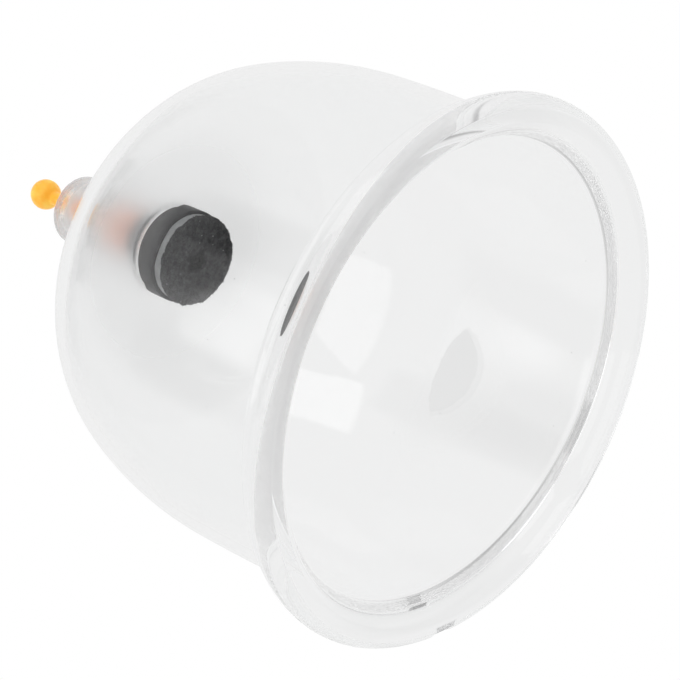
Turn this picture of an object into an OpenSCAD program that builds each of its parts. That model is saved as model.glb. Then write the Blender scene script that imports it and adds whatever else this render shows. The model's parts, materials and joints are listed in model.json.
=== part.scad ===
// Vacuum cupping cup: a clear moulded cup with a pump nozzle and a pull-to-release valve.
// It stands on its rim: the mouth is down on z = 0, and the nozzle and ball point up along +Z.

/* [Cup] */
// Outer diameter over the rim bead
rim_od = 57; // [56:0.5:59]
// Radius of the round rim bead
rim_bead_r = 1.9; // [1.7:0.1:2.1]
// How much of the bead's underside is flattened into a land
rim_land_depth = 0.1; // [0.06:0.02:0.3]
// Radius of the curve that leads the inside of the wall out to the bead
mouth_flare_r = 4; // [3:0.5:6]
// Rounding where the bead meets the outside of the wall
neck_fillet_r = 0.6; // [0.4:0.1:1]
// Outer diameter of the body at its widest ring
belly_d = 51.7; // [51:0.1:52.6]
// Height of the widest ring above the mouth
belly_z = 21; // [18:0.5:23]
// Radius of the side's bulge below the widest ring
lower_side_r = 200; // [150:10:400]
// Radius of the side's bulge above the widest ring
upper_side_r = 40.5; // [36:0.5:50]
// Radius of the shoulder between side and crown
shoulder_r = 17.8; // [16:0.1:19.5]
// Radius of the crown's dome
crown_r = 80; // [60:5:120]
// Height of the crown above the mouth, measured on the axis
crown_z = 46.3; // [45:0.1:48]
// Wall thickness of the body
wall = 1.1; // [0.9:0.1:1.4]
// How far the boss that carries the plug stands below the inside of the crown
plug_boss_h = 0.4; // [0.3:0.05:1]
// Diameter of that boss
plug_boss_d = 9.4; // [8.6:0.1:10]

/* [Moulding gate] */
// Direction of the gate scar on the bead, in degrees about the axis
gate_angle = 152; // [-180:1:180]
// How far the trimmed flat faces downwards, in degrees
gate_tilt = 44; // [0:1:45]
// Width of the gate scar
gate_w = 3.2; // [1.5:0.1:4]
// Depth of the gate scar below the bead's surface
gate_depth = 0.2; // [0.1:0.05:0.3]

/* [Nozzle] */
// Outer diameter of the nozzle, which the pump fitting slides over
nozzle_d = 8.1; // [7.6:0.1:9]
// Height of the nozzle above the crown
nozzle_h = 15.2; // [14:0.2:18]
// Rounding at the foot of the nozzle
nozzle_foot_r = 2.2; // [1.5:0.1:3]
// Rounding at the outer edge of the nozzle's tip
nozzle_tip_r = 0.5; // [0.3:0.1:0.8]
// Thickness of the nozzle's end wall
nozzle_end_t = 1.2; // [0.8:0.1:1.6]
// Bore of the nozzle, in which the valve rod is guided
nozzle_bore_d = 4.8; // [4.6:0.1:5.2]
// Hole in the end wall for the rod's neck
nozzle_hole_d = 2.7; // [2.5:0.1:3]

/* [Valve rod] */
// Diameter of the ball that is pulled to let the air in
ball_d = 3.6; // [3.2:0.1:4.2]
// Bare length of rod between nozzle and ball when the valve is shut
ball_stand = 4.6; // [4.2:0.1:6]
// Diameter of the rod's neck
rod_neck_d = 1.6; // [1.4:0.1:2.2]
// How far the valve lifts before its fins reach the end wall
valve_lift = 3.5; // [2:0.1:4]
// Number of guide fins
fin_count = 4; // [3:1:6]
// Thickness of each guide fin
fin_t = 0.8; // [0.6:0.1:1]
// Gap between the fins and the bore, on the radius
fin_clearance = 0.1; // [0.06:0.02:0.2]
// Diameter of the collar that sits on the seal
rod_collar_d = 4; // [3.4:0.1:4.2]
// Thickness of that collar
rod_collar_t = 0.6; // [0.4:0.1:0.8]
// Diameter of the stem that holds the seal
stem_d = 1.4; // [1.2:0.1:1.6]
// Diameter of the stem's button end
stem_button_d = 2.2; // [2:0.1:2.4]
// Thickness of the button end
stem_button_t = 0.5; // [0.4:0.05:0.6]
// Length of the stem from collar to button
stem_l = 1.1; // [0.9:0.1:1.3]
// Running gap between the stem and the seal's socket
stem_clearance = 0.05; // [0.03:0.01:0.08]

/* [Seal and seat] */
// Diameter of the rubber seal on the rod
seal_d = 4.2; // [3.8:0.1:4.4]
// Height of the rubber seal
seal_h = 2.6; // [2.4:0.1:3]
// Rounding of the seal's lower edge
seal_edge_r = 0.4; // [0.2:0.1:0.6]
// Gap drawn between the seal and its seat when shut
seat_gap = 0.05; // [0.03:0.01:0.1]
// Diameter of the air hole through the plug
air_hole_d = 1.2; // [0.8:0.1:1.4]
// Width of the raised seat lip round the air hole
seat_lip_w = 0.5; // [0.4:0.1:0.7]
// Height of the raised seat lip
seat_lip_h = 0.3; // [0.2:0.05:0.5]

/* [Plug, washer and filter] */
// Length of the plug's neck in the nozzle bore, without the seat lip
plug_neck_h = 2.7; // [2.4:0.1:3]
// Depth of the grooves between the neck's barbs
barb_depth = 0.15; // [0.1:0.05:0.25]
// Number of barbs on the neck
barb_count = 3; // [2:1:4]
// Gap between the barbs and the bore, on the radius
plug_clearance = 0.02; // [0.01:0.01:0.05]
// Diameter of the plug's flange
flange_d = 10.6; // [9.6:0.1:11]
// Thickness of the plug's flange
flange_t = 2.85; // [2:0.05:3.2]
// Diameter of the spigot that carries the washer
spigot_d = 4; // [3:0.1:5]
// Gap between the spigot and the washer, on the radius
washer_clearance = 0.02; // [0.01:0.01:0.05]
// Diameter of the clear washer
washer_d = 9.9; // [9:0.1:10.4]
// Thickness of the clear washer
washer_t = 1.2; // [0.8:0.1:1.4]
// Diameter of the filter disc
filter_d = 10.2; // [10:0.1:11.4]
// Thickness of the filter disc
filter_t = 0.3; // [0.2:0.05:1]
// Diameter of the hole in the filter disc
filter_hole_d = 1; // [0.8:0.1:1.4]

/* [Hidden] */
$fn = 180;
// Largest turn between two points of an arc
arc_step = 4;

// The rim's land ends where the bead's circle meets the plane of the mouth.
belly_r = belly_d / 2;
bead_c = [rim_od / 2 - rim_bead_r, rim_bead_r - rim_land_depth];
land_angle = -asin(bead_c[1] / rim_bead_r);

// Centres of the arcs that make up the cup's side, each tangent to the next.
lower_c = [belly_r - lower_side_r, belly_z];
upper_c = [belly_r - upper_side_r, belly_z];
crown_c = [0, crown_z - crown_r];

// Where the bead stands off from the wall, the two curves between them grow until they span the gap.
bead_gap = norm(bead_c - lower_c) - lower_side_r - rim_bead_r;
neck_curve_r = max(neck_fillet_r, bead_gap);
// The inner curve ends on the bead, this many degrees short of the land.
flare_end = 4;
flare_reach = (bead_gap + wall) / (1 - cos(land_angle + flare_end));
flare_curve_r = max(mouth_flare_r, rim_bead_r + flare_reach);
neck_c = meet(bead_c, rim_bead_r + neck_curve_r, lower_c, lower_side_r + neck_curve_r, -1);
flare_c = meet(bead_c, flare_curve_r - rim_bead_r, lower_c, lower_side_r - wall + flare_curve_r, -1);
shoulder_c = meet(upper_c, upper_side_r - shoulder_r, crown_c, crown_r - shoulder_r, 1);

// The nozzle stands on the crown.
nozzle_r = nozzle_d / 2;
nozzle_top = crown_z + nozzle_h;
bore_r = nozzle_bore_d / 2;
hole_r = nozzle_hole_d / 2;
end_wall_z = nozzle_top - nozzle_end_t;
foot_c_r = nozzle_r + nozzle_foot_r;
foot_c = [foot_c_r, crown_c[1] + sqrt(pow(crown_r + nozzle_foot_r, 2) - pow(foot_c_r, 2))];

// The stack below the crown, from the plug's seat down to the filter's face.
seat_z = crown_z - wall - plug_boss_h;
flange_r = flange_d / 2;
plug_boss_r = plug_boss_d / 2;
inner_crown_r = crown_r - wall;
flange_z = seat_z - flange_t;
washer_z = flange_z - washer_t;
filter_z = washer_z - filter_t;
neck_r = bore_r - plug_clearance;
neck_top = seat_z + plug_neck_h;
lip_top = neck_top + seat_lip_h;
air_hole_r = air_hole_d / 2;

// The valve, from the seal's sole up to the ball.
seal_z = lip_top + seat_gap;
seal_top = seal_z + seal_h;
seal_r = seal_d / 2;
stem_r = stem_d / 2;
button_r = stem_button_d / 2;
button_z = seal_top - stem_l - stem_button_t;
fin_r = bore_r - fin_clearance;
fin_top = end_wall_z - valve_lift;
fin_z = seal_top + rod_collar_t;
ball_r = ball_d / 2;
ball_z = nozzle_top + ball_stand + ball_r;
rod_neck_r = rod_neck_d / 2;

// Where two circles about a and b meet, on the chosen side of the line from a to b.
function meet(a, ra, b, rb, side) =
    let (d = norm(b - a), along = (ra * ra - rb * rb + d * d) / (2 * d))
    let (e = (b - a) / d, off = sqrt(ra * ra - along * along))
    a + along * e + side * off * [-e[1], e[0]];

// Direction from a to b, from 0 to 360 degrees.
function heading(a, b) = (atan2(b[1] - a[1], b[0] - a[0]) + 360) % 360;

// The same direction, from -180 to 180 degrees.
function bearing(a, b) = atan2(b[1] - a[1], b[0] - a[0]);

// Points of an arc about c from angle a0 to angle a1.
function arc(c, r, a0, a1) =
    let (n = ceil(abs(a1 - a0) / arc_step))
    [for (i = [0:n]) let (t = a0 + (a1 - a0) * i / n) c + r * [cos(t), sin(t)]];

// Outside of the cup, from the rim's land up to the crown's meeting with the nozzle.
function outer_side() = concat(
    arc(bead_c, rim_bead_r, land_angle, bearing(bead_c, neck_c)),
    arc(neck_c, neck_curve_r, heading(neck_c, bead_c), heading(neck_c, lower_c)),
    arc(lower_c, lower_side_r, bearing(lower_c, neck_c), 0),
    arc(upper_c, upper_side_r, 0, bearing(upper_c, shoulder_c)),
    arc(shoulder_c, shoulder_r, bearing(upper_c, shoulder_c), bearing(crown_c, shoulder_c)),
    arc(crown_c, crown_r, bearing(crown_c, shoulder_c), bearing(crown_c, foot_c))
);

// Nozzle, from its foot up to the tip and back down the bore to the plug's boss.
function nozzle_side() = concat(
    arc(foot_c, nozzle_foot_r, heading(foot_c, crown_c), 180),
    arc([nozzle_r - nozzle_tip_r, nozzle_top - nozzle_tip_r], nozzle_tip_r, 0, 90),
    [[hole_r, nozzle_top], [hole_r, end_wall_z], [bore_r, end_wall_z], [bore_r, seat_z]],
    [[plug_boss_r, seat_z]]
);

// Inside of the cup, from the boss down to the land. The wall is even, and curves out to the bead.
function inner_side() = concat(
    arc(crown_c, inner_crown_r, acos(plug_boss_r / inner_crown_r), bearing(crown_c, shoulder_c)),
    arc(shoulder_c, shoulder_r - wall, bearing(crown_c, shoulder_c), bearing(upper_c, shoulder_c)),
    arc(upper_c, upper_side_r - wall, bearing(upper_c, shoulder_c), 0),
    arc(lower_c, lower_side_r - wall, 0, bearing(lower_c, flare_c)),
    arc(flare_c, flare_curve_r, heading(flare_c, lower_c), heading(flare_c, bead_c)),
    arc(bead_c, rim_bead_r, heading(flare_c, bead_c), 180 - land_angle)
);

// Flat scar where the moulding gate was trimmed off the bead.
module gate_scar() {
    rotate([0, 0, gate_angle])
        translate([bead_c[0], 0, bead_c[1]])
            rotate([0, gate_tilt, 0])
                translate([rim_bead_r - gate_depth, -gate_w / 2, -rim_bead_r])
                    cube([rim_bead_r, gate_w, rim_bead_r * 2]);
}

// Clear cup in one moulding: rim bead, body, crown and nozzle.
module cup_shell() {
    color([0.93, 0.95, 0.96, 0.35])
        difference() {
            rotate_extrude()
                polygon(concat(outer_side(), nozzle_side(), inner_side()));
            gate_scar();
        }
}

// One tooth of the plug's neck: its bottom edge is sharp and holds it in the bore.
function barb(i) =
    let (pitch = plug_neck_h / barb_count, z = seat_z + i * pitch)
    [[neck_r, z], [neck_r, z + pitch / 4], [neck_r - barb_depth, z + pitch * 3 / 4], [neck_r - barb_depth, z + pitch]];

// Black rubber plug: barbed neck in the nozzle, flange under the crown, spigot for the washer.
module seat_plug() {
    color([0.13, 0.13, 0.14])
        rotate_extrude()
            polygon(concat(
                [[air_hole_r, washer_z], [spigot_d / 2, washer_z], [spigot_d / 2, flange_z]],
                [[flange_r, flange_z], [flange_r, seat_z]],
                [for (i = [0:barb_count - 1]) each barb(i)],
                [[air_hole_r + seat_lip_w, neck_top], [air_hole_r + seat_lip_w, lip_top]],
                [[air_hole_r, lip_top]]
            ));
}

// Clear washer between the plug's flange and the filter disc.
module retainer_washer() {
    color([0.75, 0.77, 0.78, 0.6])
        translate([0, 0, washer_z])
            difference() {
                cylinder(h = washer_t, d = washer_d);
                translate([0, 0, -washer_t])
                    cylinder(h = washer_t * 3, r = spigot_d / 2 + washer_clearance);
            }
}

// Dark grey foam disc that keeps dust out of the valve.
module filter_disc() {
    color([0.22, 0.22, 0.23])
        translate([0, 0, filter_z])
            difference() {
                cylinder(h = filter_t, d = filter_d);
                translate([0, 0, -filter_t])
                    cylinder(h = filter_t * 3, d = filter_hole_d);
            }
}

// Rubber seal that rests on the seat lip. Its socket is moulded round the rod's stem.
module valve_seal() {
    socket_r = stem_r + stem_clearance;
    pocket_r = button_r + stem_clearance;
    color([0.09, 0.09, 0.1])
        rotate_extrude()
            polygon(concat(
                [[0, seal_z]],
                arc([seal_r - seal_edge_r, seal_z + seal_edge_r], seal_edge_r, 270, 360),
                [[seal_r, seal_top - stem_clearance], [socket_r, seal_top - stem_clearance]],
                [[socket_r, button_z + stem_button_t + stem_clearance]],
                [[pocket_r, button_z + stem_button_t + stem_clearance]],
                [[pocket_r, button_z - stem_clearance], [0, button_z - stem_clearance]]
            ));
}

// Amber rod in one moulding: button, stem, collar, guide fins, neck and ball.
module valve_rod() {
    color([0.98, 0.66, 0.14]) {
        rotate_extrude()
            polygon([
                [0, button_z], [button_r, button_z], [button_r, button_z + stem_button_t],
                [stem_r, button_z + stem_button_t], [stem_r, seal_top],
                [rod_collar_d / 2, seal_top], [rod_collar_d / 2, fin_z],
                [rod_neck_r, fin_z], [rod_neck_r, ball_z], [0, ball_z]
            ]);
        intersection() {
            translate([0, 0, fin_z])
                cylinder(h = fin_top - fin_z, r = fin_r);
            for (i = [0:fin_count - 1])
                rotate([0, 0, i * 360 / fin_count])
                    translate([0, -fin_t / 2, fin_z])
                        cube([fin_r * 2, fin_t, fin_top - fin_z]);
        }
        translate([0, 0, ball_z])
            sphere(d = ball_d);
    }
}

cup_shell();
seat_plug();
retainer_washer();
filter_disc();
valve_seal();
valve_rod();
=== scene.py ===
import json
import logging
import math
from collections.abc import Iterable
from dataclasses import dataclass, field
from enum import Enum

import bmesh
import bpy
from mathutils import Matrix, Vector

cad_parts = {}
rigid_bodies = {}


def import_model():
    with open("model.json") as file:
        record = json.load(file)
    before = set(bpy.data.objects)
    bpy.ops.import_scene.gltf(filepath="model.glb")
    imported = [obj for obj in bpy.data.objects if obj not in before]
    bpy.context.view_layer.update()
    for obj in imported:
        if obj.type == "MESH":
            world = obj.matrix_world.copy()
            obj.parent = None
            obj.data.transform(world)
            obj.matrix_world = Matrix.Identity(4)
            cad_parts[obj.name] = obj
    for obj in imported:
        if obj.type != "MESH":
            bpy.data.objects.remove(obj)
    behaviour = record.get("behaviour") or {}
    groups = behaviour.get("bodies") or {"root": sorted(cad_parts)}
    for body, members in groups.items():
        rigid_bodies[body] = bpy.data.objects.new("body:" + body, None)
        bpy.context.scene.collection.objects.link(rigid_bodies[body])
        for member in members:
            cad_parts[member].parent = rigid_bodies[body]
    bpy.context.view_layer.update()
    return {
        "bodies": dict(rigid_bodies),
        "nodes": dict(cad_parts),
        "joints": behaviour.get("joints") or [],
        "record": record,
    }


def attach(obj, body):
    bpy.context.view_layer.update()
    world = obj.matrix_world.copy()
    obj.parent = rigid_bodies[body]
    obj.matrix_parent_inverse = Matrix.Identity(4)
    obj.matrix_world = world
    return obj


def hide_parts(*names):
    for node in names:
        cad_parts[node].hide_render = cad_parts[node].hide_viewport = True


LOG = logging.getLogger("cupping_cup")
MM = 0.001
SAME_POINT = 0.0005 * MM
Socket = bpy.types.NodeSocket
Mesh = bpy.types.Mesh
Point = tuple[float, float]
Colour = tuple[float, float, float]
Shade = Colour | Socket


class Body(Enum):
    """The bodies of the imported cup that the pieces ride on."""

    CUP = "cup"
    SEAL = "seal"
    ROD = "rod"


class Slot(Enum):
    """The record's material slots."""

    CLEAR = "clear_plastic"
    PLUG = "plug_rubber"
    WASHER = "washer_plastic"
    FOAM = "filter_foam"
    SEAL = "seal_rubber"
    AMBER = "amber_plastic"


class Section(Enum):
    """How the outline of a turned piece ends."""

    ON_AXIS = "starts and ends on the axis"
    RING = "closes on itself"


class Value:
    """A number socket on which Python's operators add Math nodes."""

    def __init__(self, graph: "Graph", socket: Socket) -> None:
        """Wraps a socket of a graph."""
        self.graph = graph
        self.socket = socket

    def math(self, operation: str, *others: "Value | float", first: "Value | float | None" = None) -> "Value":
        """Adds one Math node.

        Args:
            operation: The Math node's operation.
            others: The operands after this one.
            first: An operand that comes before this one.

        Returns:
            The node's result.
        """
        operands = ([] if first is None else [first]) + [self, *others]
        return self.graph.value("ShaderNodeMath", dict(enumerate(operands)), operation=operation)

    def __add__(self, other: "Value | float") -> "Value":
        """This plus other."""
        return self.math("ADD", other)

    __radd__ = __add__

    def __sub__(self, other: "Value | float") -> "Value":
        """This less other."""
        return self.math("SUBTRACT", other)

    def __rsub__(self, other: float) -> "Value":
        """The number other less this."""
        return self.math("SUBTRACT", first=other)

    def __mul__(self, other: "Value | float") -> "Value":
        """This times other."""
        return self.math("MULTIPLY", other)

    __rmul__ = __mul__

    def __truediv__(self, other: "Value | float") -> "Value":
        """This over other."""
        return self.math("DIVIDE", other)

    def __pow__(self, other: "Value | float") -> "Value":
        """This to the power of other."""
        return self.math("POWER", other)

    def __abs__(self) -> "Value":
        """This without its sign."""
        return self.math("ABSOLUTE")

    def rise(self, low: float, high: float) -> "Value":
        """Goes smoothly from 0 at low to 1 at high.

        Args:
            low: Where the rise starts.
            high: Where it ends. Below low, the value falls instead.

        Returns:
            The smooth step.
        """
        falling = high < low
        start, end = (high, low) if falling else (low, high)
        first, last = (1.0, 0.0) if falling else (0.0, 1.0)
        span = {"Value": self, "From Min": start, "From Max": end, "To Min": first, "To Max": last}
        return self.graph.value("ShaderNodeMapRange", span, interpolation_type="SMOOTHSTEP")


class Graph:
    """A node tree in which one method makes any node."""

    def __init__(self, tree: bpy.types.NodeTree) -> None:
        """Wraps a node tree."""
        self.tree = tree

    def feed(self, socket: Socket, value: object) -> None:
        """Sets an input, or links it where the value is a socket.

        Args:
            socket: The input.
            value: A number, colour, vector, material, socket or Value. A colour may go without its alpha.
        """
        if isinstance(value, Value):
            value = value.socket
        if isinstance(value, Socket):
            self.tree.links.new(value, socket)
        elif socket.type == "RGBA" and len(value) == 3:
            socket.default_value = (*value, 1.0)
        else:
            socket.default_value = value

    def add(self, kind: str, inputs: dict | None = None, **settings: str) -> bpy.types.Node:
        """Adds one node.

        Args:
            kind: The node's type name.
            inputs: Values or links, by the socket's name or number.
            settings: Attributes of the node, which are set first.

        Returns:
            The node.
        """
        node = self.tree.nodes.new(kind)
        for name, setting in settings.items():
            setattr(node, name, setting)
        for key, value in (inputs or {}).items():
            self.feed(node.inputs[key], value)
        return node

    def out(self, kind: str, inputs: dict | None = None, **settings: str) -> Socket:
        """Adds one node and gives its first output."""
        return self.add(kind, inputs, **settings).outputs[0]

    def value(self, kind: str, inputs: dict | None = None, output: str | int = 0, **settings: str) -> Value:
        """Adds one node and wraps one of its outputs as a number."""
        return Value(self, self.add(kind, inputs, **settings).outputs[output])

    def vector(self, operation: str, first: object, second: object) -> Socket:
        """Adds one Vector Math node with two operands. For SCALE, the second is a number."""
        inputs = {0: first, "Scale" if operation == "SCALE" else 1: second}
        return self.out("ShaderNodeVectorMath", inputs, operation=operation)

    def mix(self, share: Value | float, low: Shade, high: Shade) -> Socket:
        """Mixes two colours.

        Args:
            share: How much of high shows, from 0 to 1.
            low: The colour at 0.
            high: The colour at 1.

        Returns:
            The mixed colour's socket.
        """
        return self.add("ShaderNodeMix", {0: share, 6: low, 7: high}, data_type="RGBA").outputs[2]


class Paint(Graph):
    """A material's node tree with millimetre coordinates and common textures."""

    def __init__(self, name: str) -> None:
        """Makes an empty material with one Principled surface."""
        self.material = bpy.data.materials.new(name)
        self.material.use_nodes = True
        super().__init__(self.material.node_tree)
        self.surface = self.tree.nodes["Principled BSDF"]
        where = self.add("ShaderNodeTexCoord").outputs["Object"]
        self.place = self.out("ShaderNodeMapping", {"Vector": where, "Scale": (1 / MM,) * 3})

    def noise(
        self, size: float, detail: float = 4.0, stretch: Vector | None = None, roughness: float = 0.5
    ) -> Value:
        """Noise whose features are about size millimetres wide.

        Args:
            size: Width of a feature, in millimetres.
            detail: Octaves.
            stretch: Factors on the axes, or None.
            roughness: How strong the finer octaves are.

        Returns:
            The noise, from 0 to 1.
        """
        place = self.place
        if stretch is not None:
            place = self.out("ShaderNodeMapping", {"Vector": place, "Scale": tuple(stretch)})
        inputs = {"Vector": place, "Scale": 1 / size, "Detail": detail, "Roughness": roughness}
        return self.value("ShaderNodeTexNoise", inputs, "Fac")

    def cells(self, size: float) -> Value:
        """Distance to the nearest cell's middle, for cells about size millimetres wide."""
        return self.value("ShaderNodeTexVoronoi", {"Vector": self.place, "Scale": 1 / size}, "Distance")

    def coordinate(self, axis: str) -> Value:
        """One coordinate in millimetres."""
        return self.value("ShaderNodeSeparateXYZ", {"Vector": self.place}, axis)

    def radius(self) -> Value:
        """Distance from the cup's axis, in millimetres."""
        x, y = self.coordinate("X"), self.coordinate("Y")
        return (x * x + y * y) ** 0.5

    def bump(self, height: Value, depth: float) -> None:
        """Gives the surface a relief.

        Args:
            height: The relief's height, from 0 to 1.
            depth: The height of 1, in millimetres.
        """
        relief = self.out("ShaderNodeBump", {"Height": height, "Distance": depth * MM, "Strength": 1.0})
        self.feed(self.surface.inputs["Normal"], relief)

    def set(self, **sockets: object) -> None:
        """Sets or links sockets of the surface, by name with _ for a space."""
        for name, value in sockets.items():
            self.feed(self.surface.inputs[name.replace("_", " ").title().replace("Ior", "IOR")], value)

    def end(self, name: str, kind: str, inputs: dict) -> None:
        """Adds a last shader node and links it to the named input of the material's output."""
        self.feed(self.tree.nodes["Material Output"].inputs[name], self.out(kind, inputs))


@dataclass(frozen=True)
class Finish:
    """A finish, which names a material and paints its node tree."""

    name: str

    def coat(self, paint: Paint) -> None:
        """Paints the tree."""
        raise NotImplementedError

    def material(self) -> bpy.types.Material:
        """Builds the material."""
        paint = Paint(self.name)
        self.coat(paint)
        return paint.material


@dataclass(frozen=True)
class ClearPlastic(Finish):
    """Polished clear plastic with specks, faint scratches and frosted parts. Sizes are in millimetres."""

    name: str = "clear_plastic"
    tint: Colour = (0.985, 0.988, 0.988)
    dirt: Colour = (0.25, 0.25, 0.26)
    ior: float = 1.57
    gloss: float = 0.012
    speck_size: float = 3.4
    speck_share: float = 0.022
    wave_size: float = 9.0
    wave_depth: float = 0.004
    crown_frost: float = 0.0
    crown_z: float = 46.3
    frosted_r: float = 19.0
    frost_fade: float = 10.0
    bore_frost: float = 0.35
    tip_frost: float = 0.2
    bore_r: float = 2.6
    bead_out: float = 26.6
    bead_z: float = 1.8
    gate_angle: float = 152.0
    stain: Colour = (0.4, 0.4, 0.41)
    absorption: float = 16.0
    # share of the absorbed light given back as a painted glow from within the plastic
    painted_glow_share: float = 0.77

    def scuffs(self, paint: Paint) -> Value:
        """Adds nodes for the broken skin below the gate, on the bead's underside.

        Args:
            paint: The material's tree.

        Returns:
            1 where the skin is broken, else 0.
        """
        turn = math.radians(self.gate_angle)
        x, y, height = (paint.coordinate(axis) for axis in "XYZ")
        out = x * math.cos(turn) + y * math.sin(turn) - self.bead_out
        aside = abs(y * math.cos(turn) - x * math.sin(turn))
        torn = (paint.noise(0.5, 4.0, roughness=0.7) - 0.5) * 2.4
        under = (self.bead_z - height + torn * 0.3).rise(0.9, 1.2)
        width = (aside + out * 0.45 + torn * 0.5).rise(1.75, 1.35)
        return under * width * (out + torn * 0.3).rise(-0.1, 0.25) * paint.noise(0.22, 3.0).rise(0.3, 0.55)

    def frost(self, paint: Paint) -> Value:
        """Adds nodes for the roughness of the crown, the bore and the nozzle's tip.

        Args:
            paint: The material's tree.

        Returns:
            The roughness beyond that of polished plastic.
        """
        radius, height = paint.radius(), paint.coordinate("Z") - self.crown_z
        crown = radius.rise(self.frosted_r, self.frosted_r - self.frost_fade) * height.rise(-9, -5)
        bore = radius.rise(self.bore_r, self.bore_r - 0.1) * height.rise(1.5, 2.5)
        return crown * self.crown_frost + bore * self.bore_frost + height.rise(8, 13) * self.tip_frost

    def coat(self, paint: Paint) -> None:
        """Paints the skin, and fills the plastic with a dimming volume and a painted glow that lights it from
        within.
        """
        speck = paint.cells(self.speck_size).rise(self.speck_share, self.speck_share * 0.5)
        worn = paint.noise(0.5, 2.0, Vector((1, 1, 6))).rise(0.66, 0.8)
        scuffs = self.scuffs(paint)
        paint.set(
            base_color=paint.mix(scuffs, paint.mix(speck, self.tint, self.dirt), self.stain),
            roughness=self.gloss + worn * 0.03 + speck * 0.3 + self.frost(paint) + scuffs * 0.3,
            transmission_weight=1.0,
            ior=self.ior,
        )
        paint.bump(paint.noise(self.wave_size, 1.0), self.wave_depth)
        # painted glow: besides dimming, the plastic's volume emits light of its own, though it is no lamp
        dim = paint.out("ShaderNodeVolumeAbsorption", {"Color": (0, 0, 0), "Density": self.absorption})
        light = {"Color": (1, 1, 1), "Strength": self.absorption * self.painted_glow_share}
        paint.end("Volume", "ShaderNodeAddShader", {0: dim, 1: paint.out("ShaderNodeEmission", light)})


@dataclass(frozen=True)
class TrimmedPlastic(Finish):
    """The rough face that a cutter leaves on clear plastic."""

    name: str = "trimmed_plastic"
    stain: Colour = (0.4, 0.4, 0.41)
    tint: Colour = (0.78, 0.78, 0.79)

    def coat(self, paint: Paint) -> None:
        """Paints the cutter's drag marks."""
        drag = paint.noise(0.25, 3.0, Vector((1, 1, 0.25)))
        paint.set(
            base_color=paint.mix(drag.rise(0.35, 0.7), self.stain, self.tint),
            roughness=0.35 + drag * 0.3,
            transmission_weight=1.0,
            ior=1.57,
        )
        paint.bump(drag, 0.06)


@dataclass(frozen=True)
class MilkyPlastic(Finish):
    """Thin clear plastic that has gone a little cloudy."""

    name: str = "washer_plastic"
    tint: Colour = (0.62, 0.63, 0.64)
    pale: Colour = (0.8, 0.81, 0.82)

    def coat(self, paint: Paint) -> None:
        """Paints clouds of two greys."""
        cloud = paint.noise(1.2, 4.0)
        paint.set(
            base_color=paint.mix(cloud.rise(0.3, 0.75), self.tint, self.pale),
            roughness=0.35 + cloud * 0.3,
            transmission_weight=0.3,
            ior=1.5,
        )
        paint.bump(paint.noise(0.3, 3.0), 0.01)


@dataclass(frozen=True)
class AmberPlastic(Finish):
    """Moulded amber plastic that lets a little light into its skin, is redder within the nozzle, and has a
    painted glow of its own.
    """

    name: str = "amber_plastic"
    deep: Colour = (1.0, 0.46, 0.02)
    bright: Colour = (1.0, 0.66, 0.1)
    # painted glow colours: the amber emits light of its own, outside and within the nozzle
    painted_amber_glow: Colour = (1.0, 0.42, 0.03)
    inner: Colour = (0.95, 0.4, 0.2)
    painted_nozzle_glow: Colour = (1.0, 0.5, 0.3)
    inner_z: float = 61.5
    inner_fade: float = 1.5

    def coat(self, paint: Paint) -> None:
        """Paints clouded amber and a painted glow, as if lit from within."""
        cloud = paint.noise(1.6, 3.0)
        grain = paint.noise(0.22, 3.0)
        within = paint.coordinate("Z").rise(self.inner_z + self.inner_fade, self.inner_z - self.inner_fade)
        amber = paint.mix(cloud.rise(0.25, 0.75), self.deep, self.bright)
        paint.set(
            base_color=paint.mix(within, amber, self.inner),
            roughness=0.24 + grain * 0.16,
            ior=1.49,
            subsurface_weight=0.55,
            subsurface_radius=(1.0, 0.45, 0.1),
            subsurface_scale=0.9 * MM,
            # painted glow: the amber emits light though it is no lamp, pinker within the nozzle
            emission_color=paint.mix(within, self.painted_amber_glow, self.painted_nozzle_glow),
            emission_strength=0.24,
        )
        paint.bump(grain * 0.7 + paint.noise(0.9, 2.0) * 0.3, 0.02)


@dataclass(frozen=True)
class BlackRubber(Finish):
    """Moulded black rubber with a dusty bloom."""

    base: Colour = (0.014, 0.014, 0.016)
    bloom: Colour = (0.055, 0.055, 0.06)
    grit: Colour = (0.5, 0.5, 0.5)
    matt: float = 0.55
    fuzz: float = 0.0

    def coat(self, paint: Paint) -> None:
        """Paints bloom and dust."""
        cloud = paint.noise(1.4, 5.0, roughness=0.6)
        grain = paint.noise(0.12, 4.0)
        dust = paint.cells(0.9).rise(0.07, 0.03)
        dull = paint.mix(cloud.rise(0.35, 0.75), self.base, self.bloom)
        paint.set(
            base_color=paint.mix(dust * 0.6, dull, self.grit),
            roughness=self.matt + grain * 0.3,
            sheen_weight=self.fuzz,
            sheen_roughness=0.35,
        )
        paint.bump(grain * 0.6 + cloud * 0.4, 0.03)


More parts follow.
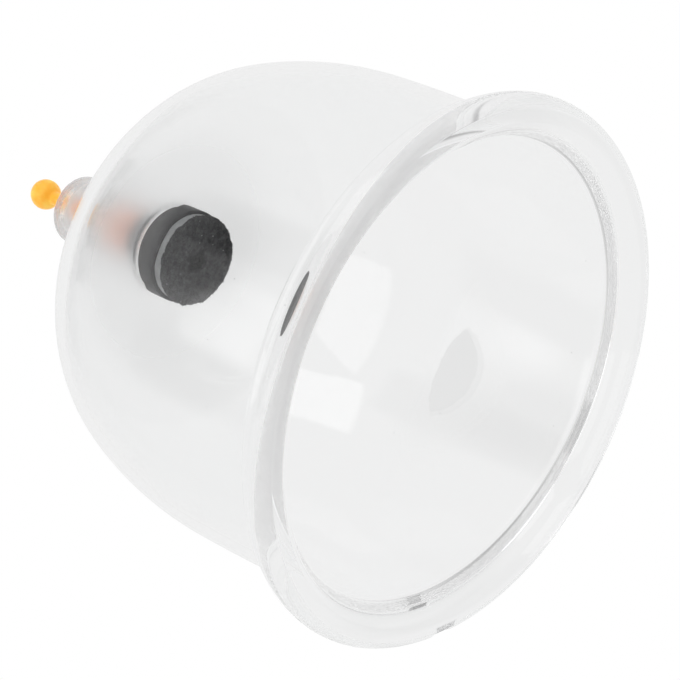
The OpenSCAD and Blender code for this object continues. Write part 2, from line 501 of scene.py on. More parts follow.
@dataclass(frozen=True)
class FilterFoam(Finish):
    """Fine open foam or felt, dark grey, with a few pale dust grains."""

    name: str = "filter_foam"
    deep: Colour = (0.006, 0.006, 0.007)
    pale: Colour = (0.2, 0.202, 0.21)
    grit: Colour = (0.6, 0.6, 0.6)
    # how strongly painted shade darkens the foam round its middle hole
    painted_hole_shade: float = 0.95

    def coat(self, paint: Paint) -> None:
        """Paints pores, clouds and dust, and painted shade round the middle hole."""
        pore = paint.cells(0.2)
        cloud = paint.noise(0.9, 6.0, roughness=0.75)
        dust = paint.cells(1.0).rise(0.09, 0.05)
        # painted shade: the foam darkens towards the hole in its middle, where shade falls
        centre = (paint.radius() + (cloud - 0.5) * 1.5).rise(0.7, 1.7)
        tone = (cloud.rise(0.3, 0.75) * 0.6 + pore * 0.3) * ((1 - self.painted_hole_shade) + centre * self.painted_hole_shade)
        paint.set(
            base_color=paint.mix(dust, paint.mix(tone, self.deep, self.pale), self.grit),
            roughness=0.85 + cloud * 0.12,
            specular_ior_level=0.12,
        )
        paint.bump(pore * 0.7 + cloud * 0.3, 0.08)


@dataclass(frozen=True)
class PaleFloor(Finish):
    """A plain pale surface that can't be seen from below."""

    name: str = "pale_floor"
    tone: Colour = (0.86, 0.86, 0.86)

    def coat(self, paint: Paint) -> None:
        """Paints the upper side and leaves the lower one clear."""
        paint.set(base_color=self.tone, roughness=0.9)
        below = paint.add("ShaderNodeNewGeometry").outputs["Backfacing"]
        clear = paint.out("ShaderNodeBsdfTransparent")
        paint.end("Surface", "ShaderNodeMixShader", {0: below, 1: paint.surface.outputs[0], 2: clear})


@dataclass(frozen=True)
class Ring:
    """A circle in the half plane of radius and height, in millimetres."""

    r: float
    z: float
    size: float

    def bearing(self, other: "Ring") -> float:
        """Direction to another circle's centre, from -180 to 180 degrees."""
        return math.degrees(math.atan2(other.z - self.z, other.r - self.r))

    def heading(self, other: "Ring") -> float:
        """The same direction, from 0 to 360 degrees."""
        return self.bearing(other) % 360

    def arc(self, start: float, end: float, step: float) -> list[Point]:
        """Points along the circle.

        Args:
            start: First direction, in degrees.
            end: Last direction, in degrees.
            step: Largest turn between two points.

        Returns:
            The points, both ends included.
        """
        count = max(1, math.ceil(abs(end - start) / step))
        turns = [math.radians(start + (end - start) * i / count) for i in range(count + 1)]
        return [(self.r + self.size * math.cos(t), self.z + self.size * math.sin(t)) for t in turns]

    def touching(self, own: float, other: "Ring", others: float, size: float, side: int) -> "Ring":
        """The circle whose centre lies own from this centre and others from the other.

        Args:
            own: Distance from this centre.
            other: The second circle.
            others: Distance from its centre.
            size: The new circle's radius.
            side: 1 for left of the line from this centre to the other, or -1.

        Returns:
            The new circle.
        """
        start, end = Vector((self.r, self.z)), Vector((other.r, other.z))
        line = end - start
        along = (own**2 - others**2 + line.length_squared) / (2 * line.length)
        off = math.sqrt(own**2 - along**2)
        unit = line.normalized()
        centre = start + along * unit + side * off * Vector((-unit.y, unit.x))
        return Ring(centre.x, centre.y, size)


def soften(outline: list[Point], radius: float, section: Section, steps: int = 5) -> list[Point]:
    """Rounds the sharp corners of an outline and adds a point beside each rounding.

    Args:
        outline: The outline's points, in millimetres.
        radius: Length that is taken off each side of a corner.
        section: Whether the outline closes on itself.
        steps: Pieces in each rounding.

    Returns:
        The softer outline.
    """
    ring = section is Section.RING
    sharp, longest, guard = math.radians(24), 0.4, 0.25
    count = len(outline)
    points = [Vector(p) for p in outline]
    soft: list[Vector] = []
    for i, point in enumerate(points):
        if not ring and i in (0, count - 1):
            soft.append(point)
            continue
        before, after = points[i - 1] - point, points[(i + 1) % count] - point
        if before.length < 1e-6 or after.length < 1e-6:
            continue
        if before.angle(-after) < sharp:
            soft.append(point)
            continue
        reach = min(radius, before.length * longest, after.length * longest)
        start, end = point + before.normalized() * reach, point + after.normalized() * reach
        soft.append(start + before.normalized() * reach * guard)
        for k in range(steps + 1):
            t = k / steps
            soft.append(start * (1 - t) ** 2 + point * 2 * t * (1 - t) + end * t**2)
        soft.append(end + after.normalized() * reach * guard)
    return [(p.x, p.y) for p in soft]


class NodeShape:
    """A Geometry Nodes tree that is built in the script and run once on a mesh."""

    def __init__(self, name: str) -> None:
        """Makes an empty tree with a geometry input and output."""
        self.tree = bpy.data.node_groups.new(name, "GeometryNodeTree")
        for side in ("INPUT", "OUTPUT"):
            self.tree.interface.new_socket("Geometry", in_out=side, socket_type="NodeSocketGeometry")
        self.graph = Graph(self.tree)
        self.sizes: dict[str, tuple[str, float | int]] = {}
        self.entry: bpy.types.Node | None = None

    def size(self, name: str, value: float | int) -> None:
        """Adds a named input for one size."""
        kind = "NodeSocketInt" if isinstance(value, int) else "NodeSocketFloat"
        socket = self.tree.interface.new_socket(name, in_out="INPUT", socket_type=kind)
        self.sizes[name] = (socket.identifier, value)

    def open(self) -> Socket:
        """Adds the group's input node, after all sizes are named, and gives its geometry."""
        self.entry = self.graph.add("NodeGroupInput")
        return self.entry.outputs["Geometry"]

    def number(self, name: str) -> Value:
        """A named size as a number."""
        return Value(self.graph, self.entry.outputs[name])

    def close(self, geometry: Socket, material: bpy.types.Material) -> None:
        """Ends the tree in Realize Instances and Set Material.

        Args:
            geometry: What the tree has made.
            material: The finish that it gets.
        """
        real = self.graph.out("GeometryNodeRealizeInstances", {0: geometry})
        painted = self.graph.out("GeometryNodeSetMaterial", {"Geometry": real, "Material": material})
        self.graph.add("NodeGroupOutput", {0: painted})

    def run(self, name: str, start: Mesh, material: bpy.types.Material) -> Mesh:
        """Runs the tree on a mesh and keeps the result as a plain mesh.

        Args:
            name: The new mesh's name.
            start: The mesh that the tree starts from.
            material: The finish of the result, which becomes its only one.

        Returns:
            The plain mesh.
        """
        holder = bpy.data.objects.new(name + "_start", start)
        bpy.context.scene.collection.objects.link(holder)
        modifier = holder.modifiers.new("shape", "NODES")
        modifier.node_group = self.tree
        for identifier, value in self.sizes.values():
            modifier[identifier] = value
        graph = bpy.context.evaluated_depsgraph_get()
        mesh = bpy.data.meshes.new_from_object(holder.evaluated_get(graph), depsgraph=graph)
        holder.modifiers.remove(modifier)
        bpy.data.objects.remove(holder)
        bpy.data.meshes.remove(start)
        bpy.data.node_groups.remove(self.tree)
        mesh.name = name
        mesh.materials.clear()
        mesh.materials.append(material)
        for face in mesh.polygons:
            face.material_index = 0
        return mesh


def tidy_faces(mesh: Mesh, merge: float) -> None:
    """Merges doubles and turns the faces outwards.

    Args:
        mesh: The mesh.
        merge: Distance within which points become one, in metres.
    """
    work = bmesh.new()
    work.from_mesh(mesh)
    bmesh.ops.remove_doubles(work, verts=work.verts, dist=merge)
    bmesh.ops.recalc_face_normals(work, faces=work.faces)
    for face in work.faces:
        face.smooth = True
    work.to_mesh(mesh)
    work.free()


def turned(
    name: str,
    outline: list[Point],
    section: Section,
    material: bpy.types.Material,
    around: int,
    edge: float = 0.0,
) -> Mesh:
    """Turns an outline about the cup's axis with Geometry Nodes.

    Args:
        name: The mesh's name.
        outline: Radius and height of each point, in millimetres.
        section: How the outline ends.
        material: The finish.
        around: Steps in a full turn.
        edge: Rounding of the sharp corners, in millimetres, or 0 for none.

    Returns:
        The closed mesh, in metres.
    """
    soft = soften(outline, edge, section) if edge else outline
    points = soft + soft[:1] if section is Section.RING else soft
    start = bpy.data.meshes.new(name + "_outline")
    edges = [(i, i + 1) for i in range(len(points) - 1)]
    start.from_pydata([(r * MM, 0, z * MM) for r, z in points], edges, [])
    shape = NodeShape(name)
    shape.size("Points", len(points))
    shape.size("Steps", around)
    line = shape.open()
    graph = shape.graph
    across = shape.number("Steps") + 1
    counts = {"Vertices X": shape.number("Points"), "Vertices Y": across}
    grid = graph.out("GeometryNodeMeshGrid", counts)
    index = graph.value("GeometryNodeInputIndex")
    row = (index / across).math("FLOOR")
    column = index - row * across
    wanted = {"Geometry": line, "Value": graph.out("GeometryNodeInputPosition"), "Index": row}
    here = graph.out("GeometryNodeSampleIndex", wanted, data_type="FLOAT_VECTOR")
    parts = graph.add("ShaderNodeSeparateXYZ", {0: here}).outputs
    out, up = Value(graph, parts[0]), Value(graph, parts[2])
    turn = column / shape.number("Steps") * math.tau
    swung = {0: out * turn.math("COSINE"), 1: out * turn.math("SINE"), 2: up}
    place = graph.out("ShaderNodeCombineXYZ", swung)
    moved = graph.out("GeometryNodeSetPosition", {"Geometry": grid, "Position": place})
    closed = graph.out("GeometryNodeMergeByDistance", {"Geometry": moved, "Distance": SAME_POINT})
    shape.close(closed, material)
    mesh = shape.run(name, start, material)
    tidy_faces(mesh, SAME_POINT)
    return mesh


def piece(name: str, mesh: Mesh, body: Body, replaces: Iterable[str]) -> bpy.types.Object:
    """Makes an object of a mesh, lets it ride on a body and reports it.

    Args:
        name: The piece's name.
        mesh: Its mesh, in the cup's frame.
        body: The body that it moves with.
        replaces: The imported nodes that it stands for.

    Returns:
        The object.
    """
    made = bpy.data.objects.new(name, mesh)
    bpy.context.scene.collection.objects.link(made)
    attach(made, body.value)
    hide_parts(*replaces)
    LOG.info("%s: %d faces on body %s", name, len(mesh.polygons), body.value)
    return made


@dataclass
class CupShell:
    """The clear moulding: rim bead, body, crown and nozzle. Sizes are in millimetres."""

    rim_od: float = 57.0
    bead_r: float = 1.9
    land_depth: float = 0.1
    mouth_flare_r: float = 4.0
    neck_fillet_r: float = 0.6
    belly_r: float = 25.85
    belly_z: float = 21.0
    lower_side_r: float = 200.0
    upper_side_r: float = 40.5
    shoulder_r: float = 17.8
    crown_r: float = 80.0
    crown_z: float = 46.3
    wall: float = 1.1
    boss_h: float = 0.4
    boss_r: float = 4.7
    nozzle_r: float = 4.05
    nozzle_h: float = 15.2
    foot_r: float = 2.2
    tip_r: float = 0.5
    end_t: float = 1.2
    bore_r: float = 2.4
    hole_r: float = 1.35
    gate_angle: float = 152.0
    gate_tilt: float = 44.0
    gate_w: float = 3.2
    gate_depth: float = 0.2
    sharp_angle: float = 32.0
    clear: ClearPlastic = field(default_factory=ClearPlastic)
    frosted: ClearPlastic = field(default_factory=lambda: ClearPlastic("crown_inside", crown_frost=0.36))
    trimmed: TrimmedPlastic = field(default_factory=TrimmedPlastic)

    @property
    def nozzle_top(self) -> float:
        """Height of the nozzle's tip."""
        return self.crown_z + self.nozzle_h

    @property
    def end_wall_z(self) -> float:
        """Height of the inside of the nozzle's end wall."""
        return self.nozzle_top - self.end_t

    @property
    def seat_z(self) -> float:
        """Height of the face that the plug's flange bears on."""
        return self.crown_z - self.wall - self.boss_h

    @property
    def shoulder_low(self) -> float:
        """A height below the crown's inside and above the belly."""
        return self.crown_z - 10

    @property
    def bead(self) -> Ring:
        """The circle of the rim bead."""
        return Ring(self.rim_od / 2 - self.bead_r, self.bead_r - self.land_depth, self.bead_r)

    def outline(self) -> list[Point]:
        """The moulding's whole section, from the land up the outside and down the inside."""
        bead = self.bead
        lower = Ring(self.belly_r - self.lower_side_r, self.belly_z, self.lower_side_r)
        upper = Ring(self.belly_r - self.upper_side_r, self.belly_z, self.upper_side_r)
        crown = Ring(0, self.crown_z - self.crown_r, self.crown_r)
        fillet = self.neck_fillet_r
        neck = bead.touching(bead.size + fillet, lower, lower.size + fillet, fillet, -1)
        curve = self.shoulder_r
        shoulder = upper.touching(upper.size - curve, crown, crown.size - curve, curve, 1)
        foot_out = self.nozzle_r + self.foot_r
        foot_z = crown.z + math.sqrt((self.crown_r + self.foot_r) ** 2 - foot_out**2)
        foot = Ring(foot_out, foot_z, self.foot_r)
        side, top = upper.bearing(shoulder), crown.bearing(shoulder)
        land = -math.degrees(math.asin(bead.z / bead.size))
        outside = [
            *bead.arc(land, bead.bearing(neck), 3),
            *neck.arc(neck.heading(bead), neck.heading(lower), 6),
            *lower.arc(lower.bearing(neck), 0, 0.25),
            *upper.arc(0, side, 0.6),
            *shoulder.arc(side, top, 2),
            *crown.arc(top, crown.bearing(foot), 0.6),
        ]
        tip = Ring(self.nozzle_r - self.tip_r, self.nozzle_top - self.tip_r, self.tip_r)
        nozzle = [
            *foot.arc(foot.heading(crown), 180, 6),
            *tip.arc(0, 90, 9),
            (self.hole_r, self.nozzle_top),
            (self.hole_r, self.end_wall_z),
            (self.bore_r, self.end_wall_z),
            (self.bore_r, self.seat_z),
            (self.boss_r, self.seat_z),
        ]
        within = Ring(crown.r, crown.z, crown.size - self.wall)
        spread = self.mouth_flare_r
        flare = bead.touching(spread - bead.size, lower, lower.size - self.wall + spread, spread, -1)
        bend, high, low = (Ring(ring.r, ring.z, ring.size - self.wall) for ring in (shoulder, upper, lower))
        inside = [
            *within.arc(math.degrees(math.acos(self.boss_r / within.size)), top, 0.6),
            *bend.arc(top, side, 2),
            *high.arc(side, 0, 0.6),
            *low.arc(0, lower.bearing(flare), 0.25),
            *flare.arc(flare.heading(lower), flare.heading(bead), 2),
            *bead.arc(flare.heading(bead), 180 - land, 3),
        ]
        return outside + nozzle + inside

    def cut_gate(self, mesh: Mesh) -> None:
        """Flattens the bead where the moulding gate was trimmed off.

        Args:
            mesh: The turned moulding.
        """
        bead = self.bead
        turn = Matrix.Rotation(math.radians(self.gate_angle), 4, "Z")
        tilt = Matrix.Rotation(math.radians(self.gate_tilt), 4, "Y")
        frame = turn @ Matrix.Translation(Vector((bead.r, 0, bead.z)) * MM) @ tilt
        back = frame.inverted()
        reach = (bead.size - self.gate_depth) * MM
        half = self.gate_w / 2 * MM
        hair = 1e-7
        work = bmesh.new()
        work.from_mesh(mesh)
        along, out = Vector((0, 1, 0)), Vector((1, 0, 0))
        for point, direction in ((along * half, along), (along * -half, along), (out * reach, out)):
            middles = [(face, back @ face.calc_center_median()) for face in work.faces]
            near = [face for face, at in middles if at.x > 0.5 * reach and abs(at.y) < 2 * half]
            edges = list({edge for face in near for edge in face.edges})
            verts = list({vert for face in near for vert in face.verts})
            plane = {"plane_co": frame @ point, "plane_no": frame.to_3x3() @ direction}
            bmesh.ops.bisect_plane(work, geom=near + edges + verts, dist=hair, **plane)
        for vert in work.verts:
            local = back @ vert.co
            if local.x > reach - hair and abs(local.y) < half + hair:
                local.x = reach if abs(local.y) < half - hair else local.x
                vert.co = frame @ local
        mesh.materials.append(self.trimmed.material())
        scar = len(mesh.materials) - 1
        for face in work.faces:
            middle = back @ face.calc_center_median()
            if abs(middle.x - reach) < 10 * hair and abs(middle.y) < half:
                face.material_index = scar
        work.to_mesh(mesh)
        work.free()
        mesh.set_sharp_from_angle(angle=math.radians(self.sharp_angle))

    def frost_crown(self, mesh: Mesh) -> None:
        """Gives the inside of the crown its frosted finish.

        Args:
            mesh: The turned moulding.
        """
        mesh.materials.append(self.frosted.material())
        last = len(mesh.materials) - 1
        for face in mesh.polygons:
            middle = face.center / MM
            near_axis = math.hypot(middle.x, middle.y) < self.frosted.frosted_r
            if near_axis and face.normal.z < -0.1 and self.shoulder_low < middle.z < self.crown_z:
                face.material_index = last

    def build(self) -> bpy.types.Object:
        """Builds the moulding."""
        mesh = turned("cup_moulding", self.outline(), Section.RING, self.clear.material(), 240, 0.12)
        self.cut_gate(mesh)
        self.frost_crown(mesh)
        return piece("cup_moulding", mesh, Body.CUP, ["cup_shell"])


@dataclass
class ValveStack:
    """The plug, washer and filter below the crown. Sizes are in millimetres."""

    seat_z: float
    bore_r: float
    flange_r: float = 5.3
    flange_t: float = 2.85
    neck_h: float = 2.7
    barb_depth: float = 0.15
    barb_count: int = 3
    clearance: float = 0.02
    air_film: float = 0.01
    lip_w: float = 0.5
    lip_h: float = 0.3
    air_r: float = 0.6
    spigot_r: float = 2.0
    washer_r: float = 4.95
    washer_t: float = 1.2
    filter_r: float = 5.1
    filter_t: float = 0.3
    filter_hole_r: float = 0.5
    foam_rings: int = 34
    roughness: float = 0.16
    wobble: float = 0.34
    strand_density: float = 9.0e7
    strand_l: float = 0.13
    strand_r: float = 0.03
    seed: int = 7
    rubber: BlackRubber = field(default_factory=lambda: BlackRubber("plug_rubber", fuzz=0.4))
    milky: MilkyPlastic = field(default_factory=MilkyPlastic)
    foam: FilterFoam = field(default_factory=FilterFoam)

    @property
    def flange_z(self) -> float:
        """Underside of the flange."""
        return self.seat_z - self.flange_t

    @property
    def washer_z(self) -> float:
        """Underside of the washer."""
        return self.flange_z - self.washer_t

    @property
    def lip_top(self) -> float:
        """Height of the raised seat lip."""
        return self.seat_z + self.neck_h + self.lip_h

    def plug(self) -> bpy.types.Object:
        """Builds the rubber plug with its barbed neck."""
        wide = self.bore_r - self.clearance
        thin = wide - self.barb_depth
        pitch = self.neck_h / self.barb_count
        barbs: list[Point] = []
        for i in range(self.barb_count):
            z = self.seat_z + i * pitch - (self.air_film if i == 0 else 0)
            barbs += [(wide, z), (wide, z + pitch / 4), (thin, z + pitch * 0.75), (thin, z + pitch)]
        outline = [
            (self.air_r, self.washer_z),
            (self.spigot_r, self.washer_z),
            (self.spigot_r, self.flange_z),
            (self.flange_r, self.flange_z),
            (self.flange_r, self.seat_z - self.air_film),
            *barbs,
            (self.air_r + self.lip_w, self.seat_z + self.neck_h),
            (self.air_r + self.lip_w, self.lip_top),
            (self.air_r, self.lip_top),
        ]
        mesh = turned("rubber_plug", outline, Section.RING, self.rubber.material(), 128, 0.18)
        return piece("rubber_plug", mesh, Body.CUP, ["seat_plug"])

    def washer(self) -> bpy.types.Object:
        """Builds the washer between flange and filter."""
        hole_r = self.spigot_r + self.clearance
        low, high = self.washer_z, self.flange_z
        outline = [(hole_r, low), (self.washer_r, low), (self.washer_r, high), (hole_r, high)]
        mesh = turned("clear_washer", outline, Section.RING, self.milky.material(), 160, 0.12)
        return piece("clear_washer", mesh, Body.CUP, ["retainer_washer"])

    def foam_outline(self) -> list[Point]:
        """Section of the foam disc, with close rings so that its faces can be roughened."""
        low, high = self.washer_z - self.filter_t, self.washer_z
        count, width = self.foam_rings, self.filter_r - self.filter_hole_r
        flat = [self.filter_hole_r + width * i / count for i in range(count + 1)]
        below = [(r, low) for r in flat]
        above = [(r, high) for r in reversed(flat)]
        return below + [(self.filter_r, low + self.filter_t * k / 4) for k in (1, 2, 3)] + above

    def roughened(self, shape: NodeShape, disc: Socket) -> Socket:
        """Adds nodes that roughen the disc's faces and make its edge ragged.

        Args:
            shape: The foam's tree.
            disc: The smooth disc.

        Returns:
            The rough disc.
        """
        graph = shape.graph
        place = graph.out("GeometryNodeInputPosition")
        shifts = []
        for scale, span, size in ((1900.0, (2.0, 2.0, 2.0), "Roughness"), (620.0, (2.0, 2.0, 0.4), "Wobble")):
            noise = graph.add("ShaderNodeTexNoise", {"Vector": place, "Scale": scale, "Detail": 3.0})
            level = graph.vector("SUBTRACT", noise.outputs["Color"], (0.5, 0.5, 0.5))
            shifts.append(graph.vector("SCALE", graph.vector("MULTIPLY", level, span), shape.number(size)))
        offset = graph.vector("ADD", *shifts)
        return graph.out("GeometryNodeSetPosition", {"Geometry": disc, "Offset": offset})

    def strands(self, shape: NodeShape, disc: Socket) -> Socket:
        """Adds nodes that set short cut strands on the disc, each with a lean of its own.

        Args:
            shape: The foam's tree.
            disc: The rough disc.

        Returns:
            The strands.
        """
        graph = shape.graph
        seed, radius = shape.number("Seed"), shape.number("Strand Radius")
        spread = {"Mesh": disc, "Density": shape.number("Strand Density"), "Seed": seed}
        spots = graph.add("GeometryNodeDistributePointsOnFaces", spread)
        depth = shape.number("Strand Length")
        cone = {"Vertices": 3, "Radius Top": radius * 0.4, "Radius Bottom": radius, "Depth": depth}
        strand = graph.out("GeometryNodeMeshCone", cone, fill_type="NGON")
        limits = {"Min": (-1.2, -1.2, -3.1), "Max": (1.2, 1.2, 3.1), "Seed": seed}
        lean = graph.out("FunctionNodeRandomValue", limits, data_type="FLOAT_VECTOR")
        turn = graph.out("FunctionNodeEulerToRotation", {0: lean})
        turns = {0: spots.outputs["Rotation"], 1: turn}
        aim = graph.out("FunctionNodeRotateRotation", turns, rotation_space="LOCAL")
        sizes = {2: 0.45, 3: 1.3, "Seed": seed}
        length = graph.value("FunctionNodeRandomValue", sizes, 1, data_type="FLOAT")
        stand = {"Points": spots.outputs[0], "Instance": strand, "Rotation": aim, "Scale": length}
        return graph.out("GeometryNodeInstanceOnPoints", stand)

    def filter(self) -> bpy.types.Object:
        """Builds the foam disc: a roughened disc with short cut strands all over it."""
        material = self.foam.material()
        start = turned("foam_start", self.foam_outline(), Section.RING, material, 160)
        shape = NodeShape("cut_foam")
        shape.size("Roughness", self.roughness * MM)
        shape.size("Wobble", self.wobble * MM)
        shape.size("Strand Density", self.strand_density)
        shape.size("Strand Length", self.strand_l * MM)
        shape.size("Strand Radius", self.strand_r * MM)
        shape.size("Seed", self.seed)
        rough = self.roughened(shape, shape.open())
        graph = shape.graph
        both = graph.add("GeometryNodeJoinGeometry")
        for part in (rough, self.strands(shape, rough)):
            graph.feed(both.inputs[0], part)
        shape.close(both.outputs[0], material)
        mesh = shape.run("foam_disc", start, material)
        return piece("foam_disc", mesh, Body.CUP, ["filter_disc"])

    def build(self) -> None:
        """Builds the three pieces."""
        self.plug()
        self.washer()
        self.filter()


@dataclass
class Valve:
    """The rubber seal and the amber rod that slide in the nozzle. Sizes are in millimetres."""

    lip_top: float
    bore_r: float
    end_wall_z: float
    nozzle_top: float
    seat_gap: float = 0.05
    seal_r: float = 2.1
    seal_h: float = 2.6
    seal_edge_r: float = 0.4
    clearance: float = 0.05
    stem_r: float = 0.7
    stem_l: float = 1.1
    button_r: float = 1.1
    button_t: float = 0.5
    collar_r: float = 2.0
    collar_t: float = 0.6
    fin_count: int = 4
    fin_t: float = 0.8
    fin_clearance: float = 0.1
    fin_edge: float = 0.14
    fin_sink: float = 0.05
    lift: float = 3.5
    stop_gap: float = 0.02
    neck_r: float = 0.8
    blend_r: float = 0.3
    ball_r: float = 1.8
    ball_stand: float = 4.6
    rubber: BlackRubber = field(default_factory=lambda: BlackRubber("seal_rubber", matt=0.45))
    amber: AmberPlastic = field(default_factory=AmberPlastic)

    @property
    def seal_z(self) -> float:
        """Sole of the seal when the valve is shut."""
        return self.lip_top + self.seat_gap

    @property
    def seal_top(self) -> float:
        """Top of the seal."""
        return self.seal_z + self.seal_h

    @property
    def ball_z(self) -> float:
        """Height of the ball's middle."""
        return self.nozzle_top + self.ball_stand + self.ball_r

    @property
    def button_z(self) -> float:
        """Underside of the stem's button."""
        return self.seal_top - self.stem_l - self.button_t

    def seal(self) -> bpy.types.Object:
        """Builds the seal with its moulded socket."""
        gap, button_z = self.clearance, self.button_z
        edge = Ring(self.seal_r - self.seal_edge_r, self.seal_z + self.seal_edge_r, self.seal_edge_r)
        outline = [
            (0, self.seal_z),
            *edge.arc(270, 360, 15),
            (self.seal_r, self.seal_top - gap),
            (self.stem_r + gap, self.seal_top - gap),
            (self.stem_r + gap, button_z + self.button_t + gap),
            (self.button_r + gap, button_z + self.button_t + gap),
            (self.button_r + gap, button_z - gap),
            (0, button_z - gap),
        ]
        mesh = turned("rubber_seal", outline, Section.ON_AXIS, self.rubber.material(), 96, 0.1)
        return piece("rubber_seal", mesh, Body.SEAL, ["valve_seal"])

    def rod_outline(self) -> list[Point]:
        """Section of the rod from its button to the ball."""
        button_z = self.button_z
        fin_z = self.seal_top + self.collar_t
        ball = Ring(0, self.ball_z, self.ball_r)
        blend_out = self.neck_r + self.blend_r
        below = math.sqrt((self.ball_r + self.blend_r) ** 2 - blend_out**2)
        blend = Ring(blend_out, self.ball_z - below, self.blend_r)
        return [
            (0, button_z),
            (self.button_r, button_z),
            (self.button_r, button_z + self.button_t),
            (self.stem_r, button_z + self.button_t),
            (self.stem_r, self.seal_top),
            (self.collar_r, self.seal_top),
            (self.collar_r, fin_z),
            (self.neck_r, fin_z),
            *blend.arc(180, blend.heading(ball), 10),
            *ball.arc(ball.bearing(blend), 90, 4),
        ]

    def fins(self, material: bpy.types.Material) -> Mesh:
        """Builds the guide fins: one fin that Geometry Nodes repeat round the rod.

        Args:
            material: The rod's finish.

        Returns:
            The fins' mesh.
        """
        low = (self.seal_top + self.collar_t - self.fin_sink) * MM
        high = (self.end_wall_z - self.lift - self.stop_gap) * MM
        inner, outer = self.neck_r * 0.5 * MM, (self.bore_r - self.fin_clearance) * MM
        half = self.fin_t / 2 * MM
        work = bmesh.new()
        bmesh.ops.create_cube(work, size=1.0)
        for vert in work.verts:
            x, y, z = vert.co
            vert.co = (inner if x < 0 else outer, y * 2 * half, low if z < 0 else high)
        edges = list(work.edges)
        bmesh.ops.bevel(work, geom=edges, offset=self.fin_edge * MM, segments=3, profile=0.5, affect="EDGES")
        for face in work.faces:
            face.smooth = True
        start = bpy.data.meshes.new("fin_start")
        work.to_mesh(start)
        work.free()
        shape = NodeShape("guide_fins")
        shape.size("Fins", self.fin_count)
        fin = shape.open()
        graph, fins = shape.graph, shape.number("Fins")
        spots = graph.out("GeometryNodeMeshLine", {"Count": fins, "Offset": (0, 0, 0)})
        turn = graph.value("GeometryNodeInputIndex") / fins * math.tau
        aim = graph.out("ShaderNodeCombineXYZ", {2: turn})
        stand = {"Points": spots, "Instance": fin, "Rotation": aim}
        shape.close(graph.out("GeometryNodeInstanceOnPoints", stand), material)
        return shape.run("guide_fins", start, material)

    def rod(self) -> bpy.types.Object:
        """Builds the rod, its fins and its ball as one moulding."""
        material = self.amber.material()
        mesh = turned("amber_rod", self.rod_outline(), Section.ON_AXIS, material, 96, 0.15)
        fins = self.fins(material)
        work = bmesh.new()
        work.from_mesh(mesh)
        work.from_mesh(fins)
        work.to_mesh(mesh)
        work.free()
        bpy.data.meshes.remove(fins)
        return piece("amber_rod", mesh, Body.ROD, ["valve_rod"])

    def build(self) -> None:
        """Builds both pieces."""
        self.seal()
        self.rod()


@dataclass(frozen=True)
class SoftBox:
    """A bright or dark rectangle of the surroundings, seen from the cup. Angles are in degrees."""

    azimuth: float
    elevation: float
    width: float
    height: float
    strength: float
    roll: float = 0.0
    lean: float = 0.0
    edge: float = 0.08

    def axes(self) -> tuple[Vector, Vector, Vector]:
        """Right, up and outward directions of the rectangle."""
        a, e, r = (math.radians(x) for x in (self.azimuth, self.elevation, self.roll))
        out = Vector((math.cos(a) * math.cos(e), math.sin(a) * math.cos(e), math.sin(e)))
        right = Vector((-math.sin(a), math.cos(a), 0))
        up = out.cross(right)
        turned_right = right * math.cos(r) + up * math.sin(r)
        return turned_right, up * math.cos(r) - right * math.sin(r), out

    def share(self, graph: Graph, direction: Socket) -> Value:
        """Adds nodes for how much of the rectangle lies in a direction.

        Args:
            graph: The world's graph.
            direction: The direction's socket.

        Returns:
            1 inside the rectangle and 0 outside, with soft edges. With a lean, the right side slants
            inwards on its way down.
        """
        pairs = [{0: direction, 1: axis} for axis in self.axes()]
        dots = [graph.value("ShaderNodeVectorMath", pair, 1, operation="DOT_PRODUCT") for pair in pairs]
        front = dots[2].rise(0.0, 0.05)
        depth = dots[2].math("MAXIMUM", 0.01)
        spans = [math.tan(math.radians(s / 2)) for s in (self.width, self.height)]
        across, tall = (dot / (depth * span) for dot, span in zip(dots, spans))
        slant = (1 - tall) * (self.lean / 2)
        inner, outer = 1 - self.edge, 1 + self.edge
        sides = (across + slant).rise(outer, inner) * (across * -1).rise(outer, inner)
        return front * sides * abs(tall).rise(outer, inner)


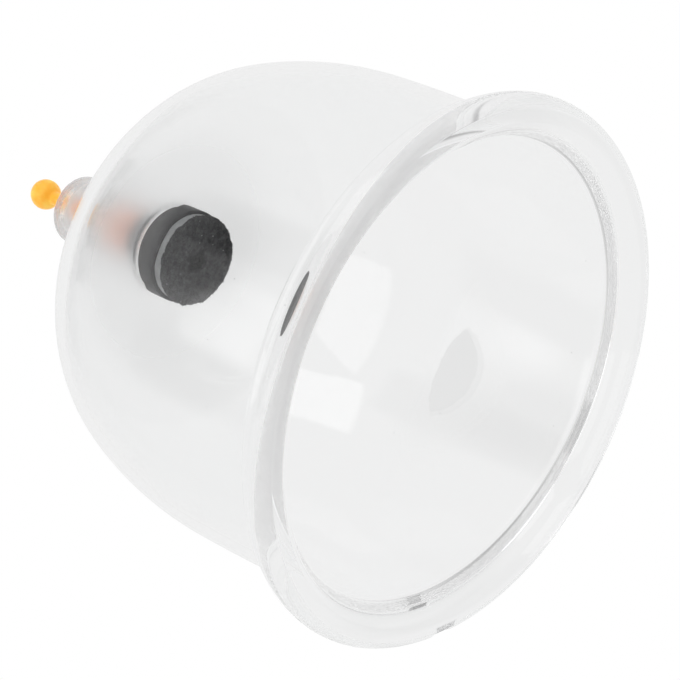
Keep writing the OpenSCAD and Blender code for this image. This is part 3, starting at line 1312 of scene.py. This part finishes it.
@dataclass
class Studio:
    """The pale floor, the soft light and the camera of the photograph."""

    floor_r: float = 0.5
    floor_drop: float = 0.05
    backdrop: float = 1.0
    room: float = 0.88
    bounces: int = 160
    boxes: tuple[SoftBox, ...] = (
        SoftBox(-50, -6.3, 27, 44, 0.85, roll=17, edge=0.06),
        SoftBox(-98, -14, 57, 42, 0.6, lean=0.47, edge=0.06),
        SoftBox(-108, 36, 27, 8, 0.6, roll=-8, edge=0.3),
        SoftBox(-71, 30, 20, 26, -0.38, edge=0.3),
        SoftBox(-84, 42, 30, 12, -0.5, edge=0.5),
        SoftBox(-138, 38, 22, 14, -0.2, edge=0.5),
        SoftBox(40, -50, 70, 34, -0.5, edge=0.5),
    )
    focal_px: float = 2000.0
    frame_px: float = 680.0
    sensor: float = 36.0
    place_mm: Vector = field(default_factory=lambda: Vector((-1.546, -159.02, -112.02)))
    rise: float = 39.22
    roll: float = 65.94

    def light(self) -> None:
        """Makes the soft surroundings, which the camera itself sees as plain white."""
        world = bpy.data.worlds.new("studio")
        world.use_nodes = True
        bpy.context.scene.world = world
        graph = Graph(world.node_tree)
        background = world.node_tree.nodes["Background"]
        direction = graph.add("ShaderNodeTexCoord").outputs["Generated"]
        total: Value | float = self.room
        for box in self.boxes:
            total = box.share(graph, direction) * box.strength + total
        seen = graph.value("ShaderNodeLightPath", output="Is Camera Ray")
        strength = total * (1 - seen) + seen * self.backdrop
        graph.feed(background.inputs["Strength"], strength)
        graph.feed(background.inputs["Color"], (1.0, 1.0, 1.0))

    def floor(self) -> None:
        """Makes the floor that the cup stands on."""
        work = bmesh.new()
        bmesh.ops.create_circle(work, cap_ends=True, segments=96, radius=self.floor_r)
        for vert in work.verts:
            vert.co.z = -self.floor_drop * MM
        mesh = bpy.data.meshes.new("floor")
        work.to_mesh(mesh)
        work.free()
        mesh.materials.append(PaleFloor().material())
        floor = bpy.data.objects.new("floor", mesh)
        bpy.context.scene.collection.objects.link(floor)
        floor.visible_glossy = False
        floor.visible_transmission = False

    def camera(self) -> None:
        """Sets the camera at the photograph's angle: from below, looking up into the mouth."""
        data = bpy.data.cameras.new("photo_camera")
        data.sensor_width = self.sensor
        data.lens = self.focal_px / self.frame_px * self.sensor
        data.clip_start = 0.01
        camera = bpy.data.objects.new("photo_camera", data)
        bpy.context.scene.collection.objects.link(camera)
        rise, roll = math.radians(self.rise), math.radians(self.roll)
        forward = Vector((0, math.cos(rise), math.sin(rise)))
        level_up = Vector((0, -math.sin(rise), math.cos(rise)))
        level_right = forward.cross(level_up)
        up = level_up * math.cos(roll) + level_right * math.sin(roll)
        right = forward.cross(up)
        turn = Matrix((right, up, -forward)).transposed().to_4x4()
        camera.matrix_world = Matrix.Translation(self.place_mm * MM) @ turn
        bpy.context.scene.camera = camera

    def build(self) -> None:
        """Sets the stage."""
        scene = bpy.context.scene
        scene.view_settings.view_transform = "Standard"
        scene.view_settings.look = "None"
        for setting in ("max_bounces", "transmission_bounces", "glossy_bounces"):
            setattr(scene.cycles, setting, self.bounces)
        self.camera()
        self.light()
        self.floor()
        LOG.info("studio: %d soft boxes", len(self.boxes))


def main() -> None:
    """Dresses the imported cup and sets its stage."""
    logging.basicConfig(level=logging.INFO, format="%(name)s %(message)s")
    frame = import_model()
    Studio().build()
    shell = CupShell()
    shell.build()
    stack = ValveStack(seat_z=shell.seat_z, bore_r=shell.bore_r)
    stack.build()
    Valve(stack.lip_top, shell.bore_r, shell.end_wall_z, shell.nozzle_top).build()


if __name__ == "__main__":
    main()
